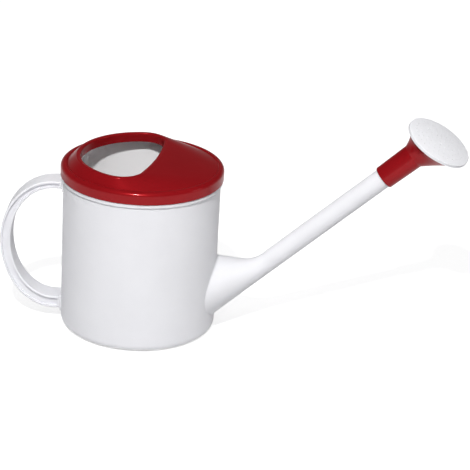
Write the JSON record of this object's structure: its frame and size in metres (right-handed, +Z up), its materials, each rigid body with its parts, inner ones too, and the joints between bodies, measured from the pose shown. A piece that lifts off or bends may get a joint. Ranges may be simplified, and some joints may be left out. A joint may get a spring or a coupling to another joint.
{
  "type": "watering can",
  "caption": "Round plastic watering can with a C-shaped strap handle, a push-on lid with a D-shaped fill hole and a long straight spout that ends in a sprinkling rose.",
  "frame": {"origin": "centre of the tank's footprint, on the surface that the can stands on", "axes": "+Z up along the tank's axis, +X from the handle towards the spout, in metres"},
  "size_m": [0.5408, 0.1906, 0.27],
  "materials": {
    "white_plastic": "smooth, slightly glossy",
    "red_plastic": "high gloss"
  },
  "bodies": {
    "can": {"tank": "white_plastic", "handle": "white_plastic", "spout": "white_plastic"},
    "lid": {"lid": "red_plastic"},
    "rose": {"rose_sleeve": "red_plastic"},
    "rose_face": {"rose_face": "white_plastic"}
  },
  "joints": [
    {"name": "lid_lift", "type": "slide", "parent": "can", "child": "lid", "axis": [0, 0, 1], "range_m": [0, 0.04]},
    {"name": "rose_turn", "type": "hinge", "parent": "can", "child": "rose", "pos_m": [0.27972, 0, 0.20252], "axis": [0.742, 0, 0.6704], "continuous": true},
    {"name": "face_pull", "type": "slide", "parent": "rose", "child": "rose_face", "axis": [0.4434, -0.2077, 0.872], "range_m": [0, 0.015]}
  ]
}
